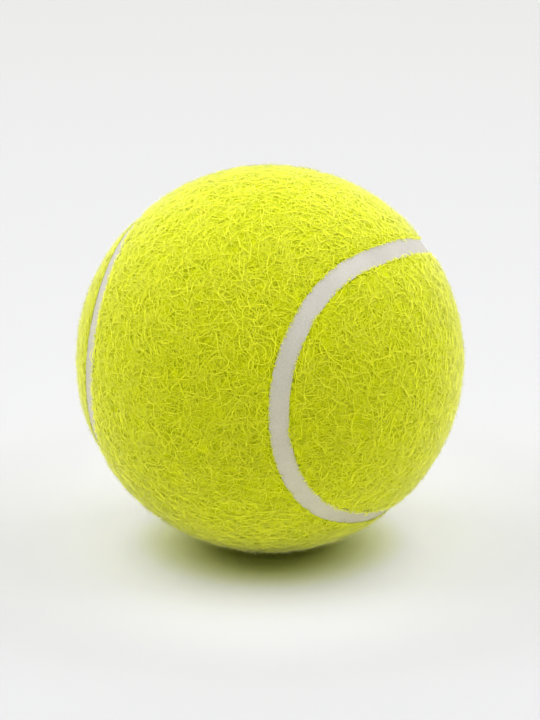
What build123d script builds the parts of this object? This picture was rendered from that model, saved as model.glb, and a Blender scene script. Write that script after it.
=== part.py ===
from build123d import *

import os
from math import acos, atan2, cos, degrees, isclose, pi, radians, sin, sqrt, tan

# Pressurised tennis ball: two rubber half shells cemented into a core, two dumbbell-shaped felt panels cemented
# on to it, and a closed band of seam rubber between the panels' edges.
#
# Millimetres and degrees. The origin is the ball's centre, and +Z is up as the ball lies. The X axis runs through
# the two lobes of the rear panel, and the waist of the front panel faces -Y.
#
# The seam line is made of circles on the ball, so each length of the seam is a revolve about the ball's centre.
# Round lobes, those of the two panels in turn, stand about the ball, and a great-circle run leads from each lobe
# to the next, tangent to both. They are worked out in the seam's own axes, where +Z is the front panel's waist.

# Layers, from the outside in
ball_diameter = 67.0
felt_thickness = 3.35
panel_cement_thickness = 0.25
core_wall = 3.4

# Gap between the felt panels and the rubber in it
seam_width = 3.5
seam_recess = 0.4
felt_shoulder_radius = 0.5

# Cement joint between the rims of the core halves
joint_thickness = 0.2
rim_bevel = 0.4
joint_bead_height = 0.35

# Course of the seam line, and how the ball lies
lobes_per_panel = 2
lobe_lift_deg = 10.7
seam_run_deg = 35.0
lie_tilt_deg = 9.1

# How far the groove's cutter passes the surfaces that it cuts
overrun = 1.0

# Radii and half sizes that follow
ball_radius = ball_diameter / 2
felt_bed_radius = ball_radius - felt_thickness
core_radius = felt_bed_radius - panel_cement_thickness
core_bore_radius = core_radius - core_wall
seam_face_radius = ball_radius - seam_recess
half_seam_width = seam_width / 2
half_joint = joint_thickness / 2


class SeamLobe:
    """One round end of a panel: a circle on the ball, whose middle leans towards the other panel's waist."""

    def __init__(self, number):
        lobe_spacing = pi / lobes_per_panel
        turn = number * lobe_spacing
        lift = radians(lobe_lift_deg)
        lean = 1 if number % 2 == 0 else -1
        outward = Vector(cos(turn), sin(turn), 0)
        pole = Vector(0, 0, lean)
        next_turn = turn + lobe_spacing / 2

        self.centre = outward * cos(lift) + pole * sin(lift)
        self.tip = pole * cos(lift) - outward * sin(lift)
        self.sideways = Vector(-sin(turn), cos(turn), 0)
        self.crossing = Vector(cos(next_turn), sin(next_turn), 0)

        reach = acos(self.centre.dot(self.crossing))
        self.radius = acos(cos(reach) / cos(radians(seam_run_deg / 2)))
        crossing_swing = atan2(self.crossing.dot(self.sideways), self.crossing.dot(self.tip))
        self.half_swing = crossing_swing - acos(tan(self.radius) / tan(reach))

    def direction(self, swing):
        """Unit vector to the lobe's circle, a swing in radians from its tip towards the next lobe."""
        across = self.tip * cos(swing) + self.sideways * sin(swing)
        return self.centre * cos(self.radius) + across * sin(self.radius)


def seam_length(section, start, spin_axis, angle_deg):
    """Revolves a section, drawn with X across the seam and Y outwards, from a start direction on the ball."""
    travel = spin_axis.cross(start).normalized()
    start_plane = Plane(origin=(0, 0, 0), x_dir=start.cross(travel), z_dir=travel)
    return revolve(start_plane * section, Axis((0, 0, 0), spin_axis), angle_deg)


def seam_ring(section):
    """Carries a section once round the whole seam line, lobe by lobe and run by run."""
    lengths = []
    for number in range(2 * lobes_per_panel):
        lobe = SeamLobe(number)
        lobe_start = lobe.direction(-lobe.half_swing)
        run_start = lobe.direction(lobe.half_swing)
        lobe_axis = lobe.tip.cross(lobe.sideways)
        run_axis = run_start.cross(lobe.crossing).normalized()
        lengths.append(seam_length(section, lobe_start, lobe_axis, degrees(2 * lobe.half_swing)))
        lengths.append(seam_length(section, run_start, run_axis, seam_run_deg))
    return lengths[0].fuse(*lengths[1:])


def groove_section():
    """Section of the gap between the panels, cut from below the core's surface to clear of the ball."""
    floor_y = sqrt(core_radius**2 - half_seam_width**2) - overrun
    top_y = ball_radius + overrun
    return Pos(0, (floor_y + top_y) / 2) * Rectangle(seam_width, top_y - floor_y)


def seam_section():
    """Section of the seam rubber, from the core out to a face that follows the ball below the felt."""
    bed_y = sqrt(core_radius**2 - half_seam_width**2)
    face_y = sqrt(seam_face_radius**2 - half_seam_width**2)
    outline = [
        ThreePointArc((-half_seam_width, bed_y), (0, core_radius), (half_seam_width, bed_y)),
        Line((half_seam_width, bed_y), (half_seam_width, face_y)),
        ThreePointArc((half_seam_width, face_y), (0, seam_face_radius), (-half_seam_width, face_y)),
        Line((-half_seam_width, face_y), (-half_seam_width, bed_y)),
    ]
    return make_face(outline)


def cement_panels(groove):
    """Front and rear coats of cement, as wide as the felt that they hold."""
    coat = Sphere(felt_bed_radius) - Sphere(core_radius)
    rear, front = (coat - groove).solids().sort_by(Axis.Z)
    return front, rear


def felt_panels(groove):
    """Front and rear felt panels, with their outer edges rounded over along the groove."""
    cover = Sphere(ball_radius) - Sphere(felt_bed_radius)
    panels = cover - groove
    cut_edges = new_edges(cover, groove, combined=panels)
    rims = cut_edges.filter_by(lambda edge: isclose((edge @ 0.5).length, ball_radius))
    rear, front = fillet(rims, felt_shoulder_radius).solids().sort_by(Axis.Z)
    return front, rear


def rim_corners():
    """Outer edge, inner edge and bevel foot of a core half's rim, as distances from the axis and heights."""
    outer = (sqrt(core_radius**2 - half_joint**2), half_joint)
    foot_height = half_joint + rim_bevel
    foot = (sqrt(core_bore_radius**2 - foot_height**2), foot_height)
    inner = (foot[0] + rim_bevel, half_joint)
    return outer, inner, foot


def upper_core_half():
    """Moulded half shell with a flat rim, bevelled inside to hold the cement."""
    outer, inner, foot = rim_corners()
    slant = Vector(1, 1).normalized()
    wall = [
        Line(inner, outer),
        ThreePointArc(outer, slant * core_radius, (0, core_radius)),
        Line((0, core_radius), (0, core_bore_radius)),
        ThreePointArc((0, core_bore_radius), slant * core_bore_radius, foot),
        Line(foot, inner),
    ]
    return revolve(Plane.XZ * make_face(wall), Axis.Z)


def core_joint_cement():
    """Ring of cement between the two rims, with the rounded bead that squeezes out inside."""
    outer, inner, foot = rim_corners()
    lower_outer, lower_inner, lower_foot = [(across, -height) for across, height in rim_corners()]
    ring = [
        ThreePointArc(lower_outer, (core_radius, 0), outer),
        Line(outer, inner),
        Line(inner, foot),
        ThreePointArc(foot, (core_bore_radius - joint_bead_height, 0), lower_foot),
        Line(lower_foot, lower_inner),
        Line(lower_inner, lower_outer),
    ]
    return revolve(Plane.XZ * make_face(ring), Axis.Z)


def main():
    lie = Rotation(90 - lie_tilt_deg, 0, 0)
    groove = seam_ring(groove_section())
    front_felt, rear_felt = felt_panels(groove)
    front_cement, rear_cement = cement_panels(groove)
    core_half = upper_core_half()
    parts = {
        "upper_core_half": core_half,
        "lower_core_half": mirror(core_half, Plane.XY),
        "core_joint_cement": core_joint_cement(),
        "front_panel_cement": lie * front_cement,
        "rear_panel_cement": lie * rear_cement,
        "front_felt_panel": lie * front_felt,
        "rear_felt_panel": lie * rear_felt,
        "seam_rubber": lie * seam_ring(seam_section()),
    }
    os.makedirs("parts", exist_ok=True)
    for name, shape in parts.items():
        export_step(shape, f"parts/{name}.step")


main()
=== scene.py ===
import math
from collections import namedtuple

import bpy
import numpy as np
from bpy.props import FloatProperty, FloatVectorProperty, IntProperty, PointerProperty
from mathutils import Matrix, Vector
from mathutils.bvhtree import BVHTree


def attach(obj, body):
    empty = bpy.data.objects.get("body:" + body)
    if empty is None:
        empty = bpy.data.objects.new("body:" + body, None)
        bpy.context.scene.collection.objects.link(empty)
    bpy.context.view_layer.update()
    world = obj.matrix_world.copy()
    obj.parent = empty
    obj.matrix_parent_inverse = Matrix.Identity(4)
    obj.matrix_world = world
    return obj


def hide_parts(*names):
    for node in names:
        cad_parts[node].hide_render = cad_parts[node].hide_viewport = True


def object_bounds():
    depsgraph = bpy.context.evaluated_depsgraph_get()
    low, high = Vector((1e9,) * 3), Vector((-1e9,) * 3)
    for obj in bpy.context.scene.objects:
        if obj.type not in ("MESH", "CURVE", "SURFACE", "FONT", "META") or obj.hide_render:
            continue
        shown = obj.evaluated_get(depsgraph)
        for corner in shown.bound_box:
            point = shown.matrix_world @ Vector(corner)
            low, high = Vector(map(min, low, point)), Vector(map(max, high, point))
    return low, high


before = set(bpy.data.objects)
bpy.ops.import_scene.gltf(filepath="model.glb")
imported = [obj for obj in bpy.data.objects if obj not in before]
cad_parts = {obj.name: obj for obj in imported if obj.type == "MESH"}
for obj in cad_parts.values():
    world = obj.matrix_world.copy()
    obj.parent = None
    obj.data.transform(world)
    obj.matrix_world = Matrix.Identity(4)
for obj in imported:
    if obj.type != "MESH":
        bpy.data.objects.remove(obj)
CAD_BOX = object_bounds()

bl_info = {
    "name": "Tennis ball",
    "version": (1, 0, 0),
    "blender": (4, 5, 0),
    "location": "View3D > Sidebar > Tennis ball",
    "description": "Dresses the packed tennis ball with felt, nap, seam rubber and core rubber",
    "category": "Object",
}

MM = 0.001
BODY = "root"
FELT_NODES = ("front_felt_panel", "rear_felt_panel")
CEMENT_NODES = ("front_panel_cement", "rear_panel_cement")
CORE_NODES = ("upper_core_half", "lower_core_half")

BALL_RADIUS = (CAD_BOX[1][2] - CAD_BOX[0][2]) / 2
FLOOR_HEIGHT = CAD_BOX[0][2]

# The furthest that a strand frays out over the seam, how high it lies there, and how far its root is buried.
SEAM_LAP = 0.6 * MM
SEAM_REST = 0.08 * MM
ROOT_DEPTH = 0.04 * MM

# How thick a strand is at these shares of its length.
TAPER_AT = (0, 0.4, 1)
TAPER = (0.8, 1, 0.45)

# Share by which a strand is shaded as part of the nap's surface, and not as a round hair.
NAP_SHADE = 0.7

# The export reads a map of this name, so each fibre's colours are carried over as they are drawn.
FIBRE_MAP = "OFBake"

# Sockets of a Mix node that mixes colours.
MIX_SHARE, MIX_FROM, MIX_TO, MIX_RESULT = 0, 6, 7, 2

# Layers of nap on each panel. Length and girth are shares of the felt's own, crest of the nap's height, and dye runs
# from the deepest strand at 0 to the palest at 1. The lower layers get the deeper dye and the upper ones the paler:
# painted shade down in the nap and painted light on top.
NapLayer = namedtuple("NapLayer", "name pieces strands steps length girth crest dye")
NAP_LAYERS = (
    NapLayer("nap", 2, 6000, 4, 1.0, 1.0, (0.1, 0.6), (0.0, 0.4)),
    NapLayer("surface_nap", 1, 7000, 5, 1.2, 1.1, (0.5, 1.0), (0.1, 0.9)),
    NapLayer("loose_nap", 1, 3400, 7, 1.6, 1.2, (1.0, 1.3), (0.6, 1.0)),
)
FRINGE = NapLayer("fringe", 1, 2200, 3, 0.5, 0.85, (0.2, 0.9), (0.1, 0.8))
FUZZ_PIECES = 2

# Softboxes: name, turn from the camera's side and rise in degrees, width and height in metres, and power setting.
SOFTBOXES = (
    ("left_softbox", -100, 50, 1.4, 1.4, "side_power"),
    ("right_softbox", 100, 50, 1.4, 1.4, "side_power"),
    ("back_softbox", 180, 38, 2.2, 1.2, "back_power"),
    ("front_softbox", 0, 76, 2.0, 1.6, "front_power"),
)


def linear(code):
    """Linear RGBA of an sRGB hex colour."""
    parts = [int(code[start : start + 2], 16) / 255 for start in (1, 3, 5)]
    return [c / 12.92 if c <= 0.04045 else ((c + 0.055) / 1.055) ** 2.4 for c in parts] + [1.0]


def colour_prop(name, description, code):
    """A colour setting, from an sRGB hex code."""
    return FloatVectorProperty(name=name, description=description, subtype="COLOR", size=4, default=linear(code))


def length_prop(name, description, millimetres):
    """A length setting, from millimetres."""
    return FloatProperty(name=name, description=description, unit="LENGTH", default=millimetres * MM)


class FeltSettings(bpy.types.PropertyGroup):
    """Felt panels and the nap that is raised on them."""

    nap_height: length_prop("Nap height", "Depth of the raised nap over the felt ground", 0.45)
    ground_grain: length_prop("Ground grain", "Size of the remeshed felt ground's faces", 0.6)
    ground_swell: length_prop("Ground swell", "How far the felt ground rises and falls", 0.3)
    edge_fill: length_prop("Edge fill", "How far the felt ground is swelled to close up to the seam", 0.4)
    swell_size: length_prop("Swell size", "Width of a rise in the felt ground", 2.4)
    fibre_length: length_prop("Fibre length", "Usual length of a fibre that shows", 2.7)
    fibre_radius: length_prop("Fibre radius", "Radius of a strand of fibre at its thickest", 0.06)
    fuzz_height: length_prop("Fuzz height", "How far the fibres' ends stand over the nap", 1.0)
    fuzz_radius: length_prop("Fuzz radius", "Radius of a fibre's end at its thickest", 0.045)
    fuzz_count: IntProperty(name="Fibre ends", description="Fibre ends on each panel", default=56000)
    seed: IntProperty(name="Seed", description="Start of the random draws for the nap", default=11)
    fibre_pale: colour_prop("Pale fibre", "Palest dyed strand", "#F5F92A")
    fibre_deep: colour_prop("Deep fibre", "Deepest dyed strand", "#E6EE00")
    # Painted shade: the strand's root is drawn deeper, as the nap's shade where it leaves the ground.
    fibre_root_painted_shade: colour_prop("Fibre root", "Strand where it leaves the felt ground", "#DAE402")
    bloom: colour_prop("Bloom", "Tint of the light that the raised nap scatters", "#FFFFC8")
    # Painted sheen: the fibre ends are pale at their tips, so the ball's outline and top look paler.
    end_pale_painted_sheen: colour_prop("Pale end", "Palest worn fibre end", "#FDFEB0")
    end_deep_painted_sheen: colour_prop("Deep end", "Deepest worn fibre end", "#FAFD68")
    # Painted shade: the felt ground is darker than the strands, as the shade under the nap; between the two it is
    # mottled at random.
    ground_pale_painted_shade: colour_prop("Pale ground", "Felt ground at its palest", "#D0D803")
    ground_deep_painted_shade: colour_prop("Deep ground", "Felt ground at its deepest", "#A4B002")


class SeamSettings(bpy.types.PropertyGroup):
    """Rubber seam between the panels."""

    face: colour_prop("Seam rubber", "Moulded face of the seam", "#BBB7B2")
    stain: colour_prop("Seam stain", "Duller patches of the seam", "#ABA7A1")
    grain: length_prop("Seam grain", "Width of the rubber's fine grain", 0.3)


class CoreSettings(bpy.types.PropertyGroup):
    """Sealed pieces inside the cover."""

    rubber: colour_prop("Core rubber", "Moulded core halves", "#2E2D2F")
    rubber_bloom: colour_prop("Core bloom", "Dusty bloom on the core rubber", "#4A494A")
    joint: colour_prop("Joint cement", "Cured ring between the core halves", "#4B3F30")
    coat: colour_prop("Panel cement", "Cured coat on the back of the felt", "#CFC8AE")
    grain: length_prop("Core grain", "Width of the buffed grain", 0.8)


class StageSettings(bpy.types.PropertyGroup):
    """Camera, floor and light."""

    azimuth: FloatProperty(name="Azimuth", description="Camera's turn round the ball", subtype="ANGLE",
                           default=math.radians(33.65))
    elevation: FloatProperty(name="Elevation", description="Camera's height angle", subtype="ANGLE",
                             default=math.radians(19.0))
    distance: length_prop("Distance", "Camera to the ball's centre", 1005.0)
    lens: FloatProperty(name="Lens", description="Focal length on a 36 mm frame", subtype="DISTANCE_CAMERA",
                        default=289.8)
    aim_drop: length_prop("Aim drop", "How far below the ball's centre the camera aims", 0.24)
    floor_side: length_prop("Floor side", "Side of the square floor", 8000.0)
    # Painted light: the felt's yellow bounce is painted onto the floor where the ball rests, and fades out a short way
    # from it.
    floor_painted_felt_light: colour_prop("Floor contact", "Pale floor where it takes the felt's colour", "#E2E84A")
    # Painted light: the floor is paler round the ball, which lifts its shadow, and darkens further out as painted
    # fall-off of light.
    floor_pool_painted_light: colour_prop("Floor near", "Pale floor round the ball", "#ECECF3")
    floor_far: colour_prop("Floor far", "Pale floor away from the ball", "#BBBBBD")
    floor_falloff_painted_shade: colour_prop("Floor end", "Pale floor behind everything", "#B1B1AF")
    floor_felt_light_reach: length_prop("Floor blush", "Distance over which the felt's colour leaves the floor", 24.0)
    floor_fade: length_prop("Floor fade", "Distance over which the floor's colour first changes", 65.0)
    floor_reach: length_prop("Floor reach", "Distance at which the floor's colour last changes", 460.0)
    # Painted light: the colour that lights the ball from below is warmed as painted yellow light from the felt, and is
    # paler than the floor the camera sees.
    floor_bounce: colour_prop("Floor bounce", "Paper that lights the ball from below, warmed by the felt", "#FCFCE0")
    softbox_distance: length_prop("Softbox distance", "Softboxes to the ball's centre", 1500.0)
    side_power: FloatProperty(name="Side power", description="Power of each side softbox", unit="POWER", default=16.3)
    back_power: FloatProperty(name="Back power", description="Power of the back softbox", unit="POWER", default=10.4)
    front_power: FloatProperty(name="Front power", description="Power of the front softbox", unit="POWER", default=16.6)
    sky: FloatProperty(name="Sky", description="Strength of the even light from the room", default=0.26)
    backdrop: FloatProperty(name="Backdrop", description="Strength of the backdrop that the camera sees", default=0.9)


class TennisBallSettings(bpy.types.PropertyGroup):
    """All settings of the ball."""

    felt: PointerProperty(type=FeltSettings)
    seam: PointerProperty(type=SeamSettings)
    core: PointerProperty(type=CoreSettings)
    stage: PointerProperty(type=StageSettings)


def add_node(tree, kind, inputs=None, **options):
    """Adds a shader node, sets its options, and fills its sockets with values or links."""
    node = tree.nodes.new(kind)
    for option, value in options.items():
        setattr(node, option, value)
    for socket, value in (inputs or {}).items():
        if isinstance(value, bpy.types.NodeSocket):
            tree.links.new(value, node.inputs[socket])
        else:
            node.inputs[socket].default_value = value
    return node


def new_material(name, **sockets):
    """A material on one Principled shader, with these of its sockets set."""
    material = bpy.data.materials.new(name)
    material.use_nodes = True
    shader = material.node_tree.nodes["Principled BSDF"]
    for socket, value in sockets.items():
        shader.inputs[socket.replace("_", " ")].default_value = value
    return material, material.node_tree, shader


def felt_ground_material(felt):
    """Milled wool and nylon felt: a matted ground dyed deeper than the strands as painted shade under the nap, mottled
    at random where its fibres lie thick or thin.
    """
    material, tree, shader = new_material("milled_wool_felt", Roughness=0.95, Specular_IOR_Level=0.1)
    place = add_node(tree, "ShaderNodeTexCoord").outputs["Object"]
    tufts = add_node(tree, "ShaderNodeTexNoise", {"Vector": place, "Scale": 1 / (1.4 * MM), "Detail": 3.0})
    matting = add_node(tree, "ShaderNodeTexVoronoi", {"Vector": place, "Scale": 1 / (0.5 * MM)},
                       feature="DISTANCE_TO_EDGE")
    mottle = add_node(tree, "ShaderNodeMapRange", {"Value": tufts.outputs["Fac"], "From Min": 0.35, "From Max": 0.65})
    # Random mottle between two colours that are both darker than the strands: painted shade under the nap.
    colour = add_node(tree, "ShaderNodeMix", {MIX_SHARE: mottle.outputs[0], MIX_FROM: felt.ground_deep_painted_shade,
                                              MIX_TO: felt.ground_pale_painted_shade}, data_type="RGBA")
    relief = add_node(tree, "ShaderNodeBump", {"Height": matting.outputs["Distance"], "Strength": 0.7,
                                               "Distance": 0.15 * MM})
    tree.links.new(colour.outputs[MIX_RESULT], shader.inputs["Base Color"])
    tree.links.new(relief.outputs["Normal"], shader.inputs["Normal"])
    return material


def strand_material(name, bloom, root, deep, pale, rise_start, rise_end):
    """Dyed wool and nylon strands: matt, no two dyed quite alike, deeper at the root as painted shade, with a raised
    nap's bloom.
    """
    material, tree, shader = new_material(
        name, Roughness=0.5, Specular_IOR_Level=0.12, Sheen_Weight=1.0, Sheen_Roughness=0.45, Sheen_Tint=bloom
    )
    strand = add_node(tree, "ShaderNodeUVMap", uv_map=FIBRE_MAP).outputs["UV"]
    parts = add_node(tree, "ShaderNodeSeparateXYZ", {"Vector": strand})
    dye = add_node(tree, "ShaderNodeMix", {MIX_SHARE: parts.outputs["X"], MIX_FROM: deep, MIX_TO: pale},
                   data_type="RGBA")
    # Painted shade: the colour runs from the deeper root, down in the nap, up to the strand's own dye.
    rise = add_node(tree, "ShaderNodeMapRange", {"Value": parts.outputs["Y"], "From Min": rise_start,
                                                 "From Max": rise_end}, interpolation_type="SMOOTHSTEP")
    colour = add_node(tree, "ShaderNodeMix", {MIX_SHARE: rise.outputs[0], MIX_FROM: root,
                                              MIX_TO: dye.outputs[MIX_RESULT]}, data_type="RGBA")
    tree.links.new(colour.outputs[MIX_RESULT], shader.inputs["Base Color"])
    return material


def seam_material(seam):
    """Moulded grey-white natural rubber: matt and faintly grained, a little uneven in tone along its length."""
    material, tree, shader = new_material("moulded_seam_rubber", Roughness=0.62, Specular_IOR_Level=0.4)
    place = add_node(tree, "ShaderNodeTexCoord").outputs["Object"]
    patches = add_node(tree, "ShaderNodeTexNoise", {"Vector": place, "Scale": 1 / (9 * MM), "Detail": 4.0})
    grain = add_node(tree, "ShaderNodeTexNoise", {"Vector": place, "Scale": 1 / seam.grain, "Detail": 2.0})
    mixed = add_node(tree, "ShaderNodeMath", {0: patches.outputs["Fac"], 1: grain.outputs["Fac"]}, operation="ADD")
    tone = add_node(tree, "ShaderNodeMapRange", {"Value": mixed.outputs[0], "From Min": 0.75, "From Max": 1.3})
    colour = add_node(tree, "ShaderNodeMix", {MIX_SHARE: tone.outputs[0], MIX_FROM: seam.face,
                                              MIX_TO: seam.stain}, data_type="RGBA")
    relief = add_node(tree, "ShaderNodeBump", {"Height": grain.outputs["Fac"], "Strength": 0.25,
                                               "Distance": 0.06 * MM})
    tree.links.new(colour.outputs[MIX_RESULT], shader.inputs["Base Color"])
    tree.links.new(relief.outputs["Normal"], shader.inputs["Normal"])
    return material


def cured_material(name, body, bloom, grain, roughness):
    """Cured rubber that nobody polishes: dull, with a buffed or brushed grain and a dusty bloom."""
    material, tree, shader = new_material(name, Roughness=roughness, Specular_IOR_Level=0.35)
    place = add_node(tree, "ShaderNodeTexCoord").outputs["Object"]
    buffing = add_node(tree, "ShaderNodeTexNoise", {"Vector": place, "Scale": 1 / grain, "Detail": 5.0})
    dust = add_node(tree, "ShaderNodeMapRange", {"Value": buffing.outputs["Fac"], "From Min": 0.45, "From Max": 0.75})
    colour = add_node(tree, "ShaderNodeMix", {MIX_SHARE: dust.outputs[0], MIX_FROM: body, MIX_TO: bloom},
                      data_type="RGBA")
    relief = add_node(tree, "ShaderNodeBump", {"Height": buffing.outputs["Fac"], "Strength": 0.4,
                                               "Distance": 0.1 * MM})
    tree.links.new(colour.outputs[MIX_RESULT], shader.inputs["Base Color"])
    tree.links.new(relief.outputs["Normal"], shader.inputs["Normal"])
    return material


def wear(piece, material):
    """Gives a piece this one material in place of what it had."""
    piece.data.materials.clear()
    piece.data.materials.append(material)


def activate(piece):
    """Leaves only this piece selected, and active."""
    bpy.ops.object.select_all(action="DESELECT")
    piece.select_set(True)
    bpy.context.view_layer.objects.active = piece


def apply_modifier(piece, kind, **options):
    """Adds a modifier to a piece, sets it up and applies it."""
    modifier = piece.modifiers.new(kind.title(), kind)
    for option, value in options.items():
        setattr(modifier, option, value)
    activate(piece)
    bpy.ops.object.modifier_apply(modifier=modifier.name)


def vertex_array(mesh):
    """Places of a mesh's vertices, one to a row."""
    places = np.empty(len(mesh.vertices) * 3, np.float32)
    mesh.vertices.foreach_get("co", places)
    return places.reshape(-1, 3).astype(float)


def unit(vectors):
    """These vectors, each at a length of 1."""
    return vectors / np.linalg.norm(vectors, axis=-1, keepdims=True)


class TENNISBALL_OT_felt_panels(bpy.types.Operator):
    """Felt ground of both panels: a copy of each panel, lowered by the nap's depth and swollen unevenly"""

    bl_idname = "tennis_ball.felt_panels"
    bl_label = "Felt panels"

    # Gap at which the solid's loose triangles are joined, and the swell's usual level.
    weld = 0.001 * MM
    swell_level = 0.35

    def execute(self, context):
        felt = context.scene.tennis_ball.felt
        material = felt_ground_material(felt)
        swell = bpy.data.textures.new("felt_swell", "CLOUDS")
        swell.noise_scale = felt.swell_size
        for node in FELT_NODES:
            piece = bpy.data.objects.new(node + "_ground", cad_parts[node].data.copy())
            context.collection.objects.link(piece)
            activate(piece)
            bpy.ops.object.mode_set(mode="EDIT")
            bpy.ops.mesh.select_all(action="SELECT")
            bpy.ops.mesh.remove_doubles(threshold=self.weld)
            bpy.ops.object.mode_set(mode="OBJECT")
            self.lower(piece, felt.nap_height + felt.edge_fill)
            apply_modifier(piece, "REMESH", mode="VOXEL", voxel_size=felt.ground_grain)
            apply_modifier(piece, "SMOOTH", factor=0.5, iterations=2)
            apply_modifier(piece, "DISPLACE", texture=swell, strength=felt.ground_swell,
                           mid_level=self.swell_level - felt.edge_fill / felt.ground_swell, texture_coords="LOCAL")
            bpy.ops.object.shade_smooth()
            wear(piece, material)
            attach(piece, BODY)
            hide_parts(node)
        return {"FINISHED"}

    def lower(self, piece, depth):
        """Draws the panel's outside in by the nap's depth, and leaves its bed and its edge where they are."""
        places = vertex_array(piece.data)
        radii = np.linalg.norm(places, axis=1)
        lowered = np.minimum(radii, BALL_RADIUS - depth)
        piece.data.vertices.foreach_set("co", (places * (lowered / radii)[:, None]).ravel())


class PanelSurface:
    """Where one panel's felt ground and edge lie, for the strands that grow on it."""

    # Where rays to the ground start, where they find the panel's edge, and where they give up.
    start = 1.1 * BALL_RADIUS
    wall_radius = BALL_RADIUS - 1.5 * MM
    deepest = BALL_RADIUS - 2.4 * MM

    # Width of the rim that the fringe grows on, and how many places are tried for each root there.
    rim = 0.5 * MM
    rim_tries = 50

    # Usual swell of the ground, how many times that still counts as swell, and how far strands crowd on it.
    usual_swell = 0.06 * MM
    most_swell = 4
    crowding = 0.6

    def __init__(self, node):
        ground = bpy.data.objects[node + "_ground"].data
        self.ground = self.tree(ground)
        self.panel = self.tree(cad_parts[node].data)
        self.seam_face = np.linalg.norm(vertex_array(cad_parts["seam_rubber"].data), axis=1).max()
        ground.calc_loop_triangles()
        corners = np.empty(len(ground.loop_triangles) * 3, np.int32)
        ground.loop_triangles.foreach_get("vertices", corners)
        a, b, c = vertex_array(ground)[corners.reshape(-1, 3)].transpose(1, 0, 2)
        across = np.cross(b - a, c - a)
        middle = (a + b + c) / 3
        height = np.linalg.norm(middle, axis=1)
        grows = (np.einsum("ij,ij->i", across, middle) > 0) & (height > self.deepest)
        grows[grows] = self.edge(unit(middle[grows]))[0] > 0
        self.level = np.median(height[grows])
        self.corners = a, b, c
        self.share = np.linalg.norm(across, axis=1) * grows * np.exp(self.crowding * self.swell(middle))
        self.share /= self.share.sum()

    def tree(self, mesh):
        """The mesh's faces, ready for rays and nearest places."""
        return BVHTree.FromPolygons(vertex_array(mesh).tolist(), [list(p.vertices) for p in mesh.polygons])

    def swell(self, places):
        """How far the felt ground swells at these places, as a share of its usual swell, and 0 down at the edge."""
        swell = (np.linalg.norm(places, axis=1) - self.level) / self.usual_swell
        return np.where(abs(swell) < self.most_swell, swell, 0)

    def roots(self, count, rng):
        """Random places on the outer faces of the felt ground, crowded where it swells and sparse where it dips."""
        a, b, c = self.corners
        face = rng.choice(len(a), count, p=self.share)
        s, t = rng.random((2, count, 1))
        fold = s + t > 1
        s, t = np.where(fold, 1 - s, s), np.where(fold, 1 - t, t)
        return a[face] + (b - a)[face] * s + (c - a)[face] * t

    def rim_roots(self, count, rng):
        """Random places along the panel's edge, and the way that leads out over it from each."""
        places = self.roots(self.rim_tries * count, rng)
        inside, inwards = self.edge(unit(places))
        near = np.flatnonzero(abs(inside) < self.rim)[:count]
        return places[near], -inwards[near]

    def radius(self, directions, fallback):
        """How far out the felt ground lies in each direction, or the fallback where there is none."""
        found = fallback.copy()
        for number, direction in enumerate(directions):
            outward = Vector(direction)
            hit = self.ground.ray_cast(outward * self.start, -outward, self.start - self.deepest)[0]
            if hit is not None:
                found[number] = hit.length
        return found

    def edge(self, directions):
        """How far inside the panel's edge each direction lies, negative past it, and the way that leads inwards."""
        inside = np.empty(len(directions))
        inwards = np.empty((len(directions), 3))
        for number, direction in enumerate(directions):
            outward = Vector(direction)
            place = outward * self.wall_radius
            over = self.panel.ray_cast(outward * self.start, -outward, self.start - self.wall_radius)[0] is not None
            way = self.panel.find_nearest(place)[0] - place
            inside[number] = way.length if over else -way.length
            inwards[number] = -way.normalized() if over else way.normalized()
        return inside, inwards


def strand_faces(rings):
    """Triangles of one strand: a cap at the root, a tube of rings and a pointed tip."""
    faces = [(0, 1, 2)]
    for ring in range(rings - 1):
        for side in range(3):
            a, b = ring * 3 + side, ring * 3 + (side + 1) % 3
            faces += [(a, b + 3, b), (a, a + 3, b + 3)]
    last = (rings - 1) * 3
    faces += [(last + (side + 1) % 3, last + side, rings * 3) for side in range(3)]
    return np.array(faces)


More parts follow.
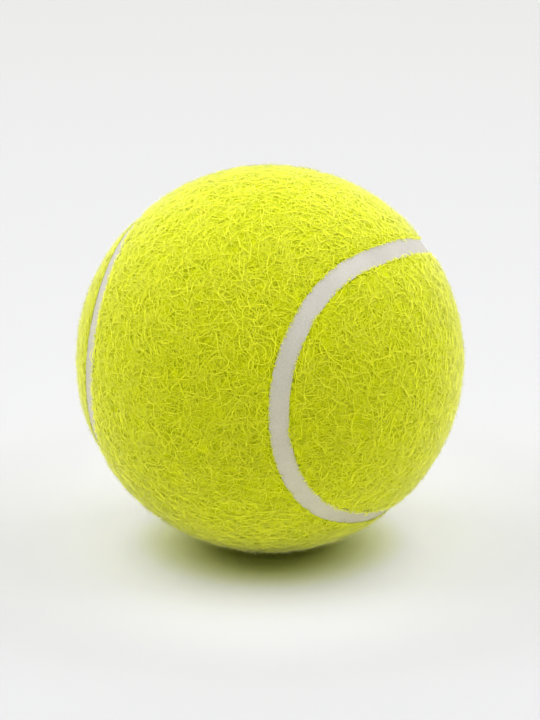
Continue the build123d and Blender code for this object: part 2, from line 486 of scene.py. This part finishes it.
def strand_mesh(name, paths, radii, dye):
    """One mesh of closed three-sided strands along these paths, each with its own strip of the fibre map."""
    count, rings = len(paths), paths.shape[1] - 1
    ahead = unit(np.gradient(paths, axis=1))
    # A short end may stand straight out from the ball, so its sides are measured from another direction.
    side = unit(np.cross(ahead, np.roll(paths[:, :1], 1, axis=2) if rings < 3 else paths))
    up = np.cross(side, ahead)
    taper = np.interp(np.arange(rings) / rings, TAPER_AT, TAPER)
    girth = (radii[:, None] * taper)[:, :, None]
    spokes = np.stack([
        (math.cos(a) * side + math.sin(a) * up)[:, :rings]
        for a in (math.pi / 2, math.pi * 7 / 6, math.pi * 11 / 6)
    ], axis=2)
    tubes = paths[:, :rings, None] + girth[:, :, None] * spokes
    places = np.concatenate([tubes.reshape(count, -1, 3), paths[:, -1:]], axis=1)
    around = np.concatenate([spokes.reshape(count, -1, 3), ahead[:, -1:]], axis=1).reshape(-1, 3)
    nap = unit(places.reshape(-1, 3))
    per_strand = rings * 3 + 1
    triangles = (strand_faces(rings)[None] + (np.arange(count) * per_strand)[:, None, None]).reshape(-1, 3)
    # The strip's place across the map is the strand's dye, and it runs up the map from root to tip.
    strip = np.concatenate([np.tile((0.0, 0.004, 0.008), rings), [0.004]])
    run = np.concatenate([np.repeat(np.arange(rings) / rings, 3), [1.0]])
    drawn = np.empty((count, per_strand, 2))
    drawn[:, :, 0] = 0.005 + 0.98 * dye[:, None] + strip
    drawn[:, :, 1] = 0.01 + 0.98 * run
    mesh = bpy.data.meshes.new(name)
    mesh.vertices.add(count * per_strand)
    mesh.vertices.foreach_set("co", places.astype(np.float32).ravel())
    mesh.loops.add(triangles.size)
    mesh.loops.foreach_set("vertex_index", triangles.astype(np.int32).ravel())
    mesh.polygons.add(len(triangles))
    mesh.polygons.foreach_set("loop_start", np.arange(0, triangles.size, 3, dtype=np.int32))
    mesh.update(calc_edges=True)
    mesh.polygons.foreach_set("use_smooth", np.ones(len(triangles), bool))
    mesh.normals_split_custom_set_from_vertices(unit((1 - NAP_SHADE) * around + NAP_SHADE * nap).tolist())
    layer = mesh.uv_layers.new(name=FIBRE_MAP)
    layer.uv.foreach_set("vector", drawn.reshape(-1, 2)[triangles.ravel()].astype(np.float32).ravel())
    return mesh


def add_strands(context, name, paths, radii, dye, material):
    """Adds one piece of felt made of strands, none of which goes below the floor."""
    paths[:, :, 2] = np.maximum(paths[:, :, 2], FLOOR_HEIGHT + radii[:, None])
    piece = bpy.data.objects.new(name, strand_mesh(name, paths, radii, dye))
    context.collection.objects.link(piece)
    wear(piece, material)
    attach(piece, BODY)


class TENNISBALL_OT_nap(bpy.types.Operator):
    """Nap of both panels: curled strands that leave the felt ground, lie over each other and fray over the seam"""

    bl_idname = "tennis_ball.nap"
    bl_label = "Nap"

    # Spread of the strands' girth, length, curl and wander, and how crooked the fringe sets out.
    girth_spread = (0.75, 1.2)
    length_spread = 0.35
    curl_spread = 0.3
    wander_spread = 0.25
    fringe_spread = 0.6

    # How far the dye leans to the deep end, and how much paler it is where the ground swells and deeper where it dips:
    # painted light on the rises and painted shade in the pits.
    dye_lean = 1.5
    swell_painted_light = 0.12

    # Shares of the strands that end loose or stray, how far a stray lifts, and the curves by which strands rise.
    loose_share = 0.3
    stray_share = 0.012
    stray_lift = 1.6
    loose_curve = 1.3
    arch_curve = 0.8

    # How far under the nap its bed lies, where strands change from that to the seam, and the least that is left uncut.
    bed_drop = 0.05 * MM
    edge_blend = (-0.1 * MM, 0.2 * MM)
    least_left = 0.15

    def execute(self, context):
        felt = context.scene.tennis_ball.felt
        material = strand_material("dyed_felt_fibre", felt.bloom, felt.fibre_root_painted_shade, felt.fibre_deep, felt.fibre_pale,
                                   0.0, 0.4)
        rng = np.random.default_rng(felt.seed)
        for node in FELT_NODES:
            panel = PanelSurface(node)
            for layer in NAP_LAYERS:
                for number in range(layer.pieces):
                    roots = panel.roots(layer.strands, rng)
                    ways = np.cross(roots, rng.normal(size=roots.shape))
                    self.grow(context, panel, f"{node}_{layer.name}_{number + 1}", roots, ways, layer, material, rng)
            roots, ways = panel.rim_roots(FRINGE.strands, rng)
            ways = ways + rng.normal(0, self.fringe_spread, ways.shape)
            self.grow(context, panel, f"{node}_{FRINGE.name}", roots, ways, FRINGE, material, rng)
        return {"FINISHED"}

    def grow(self, context, panel, name, roots, ways, layer, material, rng):
        """Adds one layer of strands from these roots, each setting out its own way."""
        felt = context.scene.tennis_ball.felt
        paths = self.creep(panel, roots, ways, layer, felt, rng)
        radii = felt.fibre_radius * layer.girth * rng.uniform(*self.girth_spread, len(roots))
        dye = np.interp(rng.random(len(roots)) ** self.dye_lean, (0, 1), layer.dye)
        # Painted light and shade: strands on the ground's rises are paler and those in its dips deeper.
        dye = dye + self.swell_painted_light * panel.swell(roots)
        add_strands(context, name, paths, radii, np.clip(dye, 0, 1), material)

    def creep(self, panel, roots, ways, layer, felt, rng):
        """Paths of strands from these roots: each creeps over the ground, curls as it goes, and rises and dips."""
        count, steps = len(roots), layer.steps
        length = felt.fibre_length * layer.length * rng.lognormal(0, self.length_spread, count)
        courses = self.courses(unit(roots), ways, length, steps, rng)
        courses = self.cut(panel, courses, SEAM_LAP * rng.random(count))
        stray = rng.random(count) < self.stray_share
        crest = felt.nap_height * rng.uniform(*layer.crest, count) * np.where(stray, self.stray_lift, 1)
        loose = stray | (rng.random(count) < self.loose_share)
        bed = BALL_RADIUS - felt.nap_height - self.bed_drop
        surface = np.linalg.norm(roots, axis=1)
        paths = np.empty((count, steps + 1, 3))
        for step in range(steps + 1):
            here = courses[:, step]
            along = step / steps
            arch = np.where(loose, along**self.loose_curve, math.sin(math.pi * along) ** self.arch_curve)
            surface = panel.radius(here, surface)
            lap = np.interp(panel.edge(here)[0], self.edge_blend, (panel.seam_face + SEAM_REST, bed))
            paths[:, step] = here * (np.maximum(surface, lap) + crest * arch - ROOT_DEPTH)[:, None]
        return paths

    def courses(self, here, ways, length, steps, rng):
        """Directions that each strand passes on its way round the ball, curling one way and wandering both."""
        heading = unit(ways - here * np.einsum("ij,ij->i", ways, here)[:, None])
        stride = (length / steps / BALL_RADIUS)[:, None]
        curl = rng.normal(0, self.curl_spread, len(here)) * length / MM / steps
        passed = [here]
        for step in range(steps):
            turn = (curl + rng.normal(0, self.wander_spread, len(here)))[:, None]
            heading = heading * np.cos(turn) + np.cross(here, heading) * np.sin(turn)
            heading = unit(heading - here * np.einsum("ij,ij->i", heading, here)[:, None])
            here = unit(here + heading * stride)
            passed.append(here)
        return np.stack(passed, axis=1)

    def cut(self, panel, courses, overhang):
        """Cuts each course off where it has run this far out over the panel's edge."""
        count, points = courses.shape[:2]
        room = np.stack([panel.edge(courses[:, point])[0] for point in range(points)], axis=1) + overhang[:, None]
        end = np.full(count, points - 1.0)
        for point in range(points - 1, 0, -1):
            out = room[:, point] < 0
            before = room[out, point - 1]
            end[out] = point - 1 + np.clip(before / (before - room[out, point] + 1e-9), 0, 1)
        spots = np.linspace(0, 1, points) * np.maximum(end, self.least_left * points)[:, None]
        first = np.minimum(spots.astype(int), points - 2)
        share = (spots - first)[:, :, None]
        strand = np.arange(count)[:, None]
        return unit(courses[strand, first] * (1 - share) + courses[strand, first + 1] * share)


class TENNISBALL_OT_fuzz(bpy.types.Operator):
    """Fuzz of both panels: fibre ends that stand out of the nap, deep at the root as painted shade and pale at the tip
    as painted sheen
    """

    bl_idname = "tennis_ball.fuzz"
    bl_label = "Fuzz"

    # Spread of the ends' girth, how far the most slanted leans for its rise, and the spread of how far they rise.
    girth_spread = (0.7, 1.2)
    widest_lean = 1.8
    rise_spread = (1.2, 3.2)

    def execute(self, context):
        felt = context.scene.tennis_ball.felt
        # The ends' lower half keeps the deep dye as painted shade in the nap, and their tips are pale as painted sheen.
        material = strand_material("worn_fibre_ends", felt.bloom, felt.fibre_deep, felt.end_deep_painted_sheen, felt.end_pale_painted_sheen,
                                   0.5, 1.0)
        rng = np.random.default_rng(felt.seed + 1)
        for node in FELT_NODES:
            panel = PanelSurface(node)
            for number in range(FUZZ_PIECES):
                roots = panel.roots(felt.fuzz_count // FUZZ_PIECES, rng)
                paths = self.stand(roots, felt, rng)
                radii = felt.fuzz_radius * rng.uniform(*self.girth_spread, len(roots))
                add_strands(context, f"{node}_fuzz_{number + 1}", paths, radii, rng.random(len(roots)), material)
        return {"FINISHED"}

    def stand(self, roots, felt, rng):
        """Paths of fibre ends from these roots: each leans its own way as it stands out of the nap."""
        count = len(roots)
        outward = unit(roots)
        lean = unit(np.cross(outward, rng.normal(size=(count, 3)))) * rng.uniform(0, self.widest_lean, (count, 1))
        rise = felt.nap_height + felt.fuzz_height * rng.beta(*self.rise_spread, count)
        return np.stack([roots, roots + (outward + lean) * rise[:, None]], axis=1)


class TENNISBALL_OT_seam(bpy.types.Operator):
    """Seam rubber, which keeps its solid and gets its finish"""

    bl_idname = "tennis_ball.seam"
    bl_label = "Seam rubber"

    def execute(self, context):
        wear(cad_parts["seam_rubber"], seam_material(context.scene.tennis_ball.seam))
        return {"FINISHED"}


class TENNISBALL_OT_core(bpy.types.Operator):
    """Core halves, their joint and the cement coats, which keep their solids and get their finishes"""

    bl_idname = "tennis_ball.core"
    bl_label = "Core and cement"

    def execute(self, context):
        core = context.scene.tennis_ball.core
        rubber = cured_material("buffed_core_rubber", core.rubber, core.rubber_bloom, core.grain, 0.8)
        joint = cured_material("cured_joint_cement", core.joint, core.rubber, core.grain, 0.6)
        coat = cured_material("cured_panel_cement", core.coat, core.joint, core.grain, 0.7)
        for nodes, material in ((CORE_NODES, rubber), (("core_joint_cement",), joint), (CEMENT_NODES, coat)):
            for node in nodes:
                wear(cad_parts[node], material)
        return {"FINISHED"}


class TENNISBALL_OT_stage(bpy.types.Operator):
    """Camera at the photograph's angle, pale floor, softboxes all round and even light from the room"""

    bl_idname = "tennis_ball.stage"
    bl_label = "Stage"

    def execute(self, context):
        stage = context.scene.tennis_ball.stage
        self.camera(context, stage)
        self.floor(context, stage)
        for name, turn, rise, width, height, power in SOFTBOXES:
            self.softbox(context, stage, name, turn, rise, width, height, getattr(stage, power))
        self.room(context, stage)
        context.scene.view_settings.view_transform = "Standard"
        return {"FINISHED"}

    def direction(self, turn, rise):
        """Unit vector from the ball at this turn and rise, in radians."""
        return Vector((math.sin(turn) * math.cos(rise), -math.cos(turn) * math.cos(rise), math.sin(rise)))

    def camera(self, context, stage):
        """Long lens, aimed a little below the ball's centre."""
        back = self.direction(stage.azimuth, stage.elevation)
        place = back * stage.distance - Vector((0, 0, stage.aim_drop))
        bpy.ops.object.camera_add(location=place, rotation=back.to_track_quat("Z", "Y").to_euler())
        camera = context.object
        camera.data.lens = stage.lens
        camera.data.sensor_width = 36.0
        camera.data.clip_start = 10 * MM
        context.scene.camera = camera

    def floor(self, context, stage):
        """Matt paper: pale, with a painted pool of light round the ball that lifts its shadow, painted fall-off of
        light further out, and the felt's bounced light painted on where it rests.
        """
        bpy.ops.mesh.primitive_plane_add(size=stage.floor_side, location=(0, 0, FLOOR_HEIGHT))
        floor = context.object
        floor.name = "floor"
        material, tree, shader = new_material("matt_paper_floor", Roughness=0.9, Specular_IOR_Level=0.1)
        place = add_node(tree, "ShaderNodeTexCoord").outputs["Object"]
        away = add_node(tree, "ShaderNodeVectorMath", {0: place}, operation="LENGTH")
        # Painted light: a paler pool round the ball that lifts its shadow, then darker with distance as painted
        # fall-off.
        fade = add_node(tree, "ShaderNodeMapRange", {"Value": away.outputs["Value"], "From Max": stage.floor_fade},
                        interpolation_type="SMOOTHSTEP")
        painted_pool = add_node(tree, "ShaderNodeMix", {MIX_SHARE: fade.outputs[0], MIX_FROM: stage.floor_pool_painted_light,
                                                 MIX_TO: stage.floor_far}, data_type="RGBA")
        reach = add_node(tree, "ShaderNodeMapRange", {"Value": away.outputs["Value"], "From Min": stage.floor_fade,
                                                      "From Max": stage.floor_reach})
        colour = add_node(tree, "ShaderNodeMix", {MIX_SHARE: reach.outputs[0], MIX_FROM: painted_pool.outputs[MIX_RESULT],
                                                  MIX_TO: stage.floor_falloff_painted_shade}, data_type="RGBA")
        # Light that spreads meets the warmer, paler bounce colour: painted yellow light from the felt.
        lit = add_node(tree, "ShaderNodeMix", {MIX_SHARE: self.seen(tree), MIX_FROM: stage.floor_bounce,
                                               MIX_TO: colour.outputs[MIX_RESULT]}, data_type="RGBA")
        # Painted light: the felt's yellow bounce is painted onto the floor near the contact, for the camera and for the
        # light the floor returns.
        painted_bounce_fade = add_node(tree, "ShaderNodeMapRange", {"Value": away.outputs["Value"], "From Max": stage.floor_felt_light_reach,
                                                      "From Min": stage.floor_felt_light_reach / 4})
        tinted = add_node(tree, "ShaderNodeMix", {MIX_SHARE: painted_bounce_fade.outputs[0], MIX_FROM: stage.floor_painted_felt_light,
                                                  MIX_TO: lit.outputs[MIX_RESULT]}, data_type="RGBA")
        tree.links.new(tinted.outputs[MIX_RESULT], shader.inputs["Base Color"])
        wear(floor, material)

    def softbox(self, context, stage, name, turn, rise, width, height, power):
        """A softbox that faces the ball, turned from the camera's side and raised by these angles in degrees."""
        back = self.direction(stage.azimuth + math.radians(turn), math.radians(rise))
        bpy.ops.object.light_add(type="AREA", location=back * stage.softbox_distance,
                                 rotation=back.to_track_quat("Z", "Y").to_euler())
        lamp = context.object
        lamp.name = name
        lamp.data.shape = "RECTANGLE"
        lamp.data.size = width
        lamp.data.size_y = height
        lamp.data.energy = power

    def seen(self, tree):
        """1 where the camera looks, straight or by a reflection or a clear body, and 0 for light that spreads."""
        path = add_node(tree, "ShaderNodeLightPath")
        mirrored = add_node(tree, "ShaderNodeMath", {0: path.outputs["Is Glossy Ray"],
                                                     1: path.outputs["Is Transmission Ray"]}, operation="MAXIMUM")
        return add_node(tree, "ShaderNodeMath", {0: path.outputs["Is Camera Ray"], 1: mirrored.outputs[0]},
                        operation="MAXIMUM").outputs[0]

    def room(self, context, stage):
        """Even light from all round, with a pale backdrop where the camera sees it."""
        world = bpy.data.worlds.new("room")
        context.scene.world = world
        world.use_nodes = True
        tree = world.node_tree
        background = tree.nodes["Background"]
        strength = add_node(tree, "ShaderNodeMapRange", {"Value": self.seen(tree), "To Min": stage.sky,
                                                         "To Max": stage.backdrop})
        background.inputs["Color"].default_value = linear("#FFFFFF")
        tree.links.new(strength.outputs[0], background.inputs["Strength"])


class TENNISBALL_PT_sidebar(bpy.types.Panel):
    """Pieces and settings of the tennis ball"""

    bl_idname = "TENNISBALL_PT_sidebar"
    bl_label = "Tennis ball"
    bl_space_type = "VIEW_3D"
    bl_region_type = "UI"
    bl_category = "Tennis ball"

    def draw(self, context):
        settings = context.scene.tennis_ball
        for step in OPERATORS:
            self.layout.operator(step.bl_idname)
        for group in (settings.felt, settings.seam, settings.core, settings.stage):
            box = self.layout.box()
            for name in group.__annotations__:
                box.prop(group, name)


OPERATORS = (
    TENNISBALL_OT_stage,
    TENNISBALL_OT_core,
    TENNISBALL_OT_seam,
    TENNISBALL_OT_felt_panels,
    TENNISBALL_OT_nap,
    TENNISBALL_OT_fuzz,
)
CLASSES = (
    FeltSettings,
    SeamSettings,
    CoreSettings,
    StageSettings,
    TennisBallSettings,
    *OPERATORS,
    TENNISBALL_PT_sidebar,
)


def register():
    for cls in CLASSES:
        bpy.utils.register_class(cls)
    bpy.types.Scene.tennis_ball = PointerProperty(type=TennisBallSettings)


def unregister():
    del bpy.types.Scene.tennis_ball
    for cls in reversed(CLASSES):
        bpy.utils.unregister_class(cls)


def main():
    register()
    bpy.ops.tennis_ball.stage()
    bpy.ops.tennis_ball.core()
    bpy.ops.tennis_ball.seam()
    bpy.ops.tennis_ball.felt_panels()
    bpy.ops.tennis_ball.nap()
    bpy.ops.tennis_ball.fuzz()


if __name__ == "__main__":
    main()
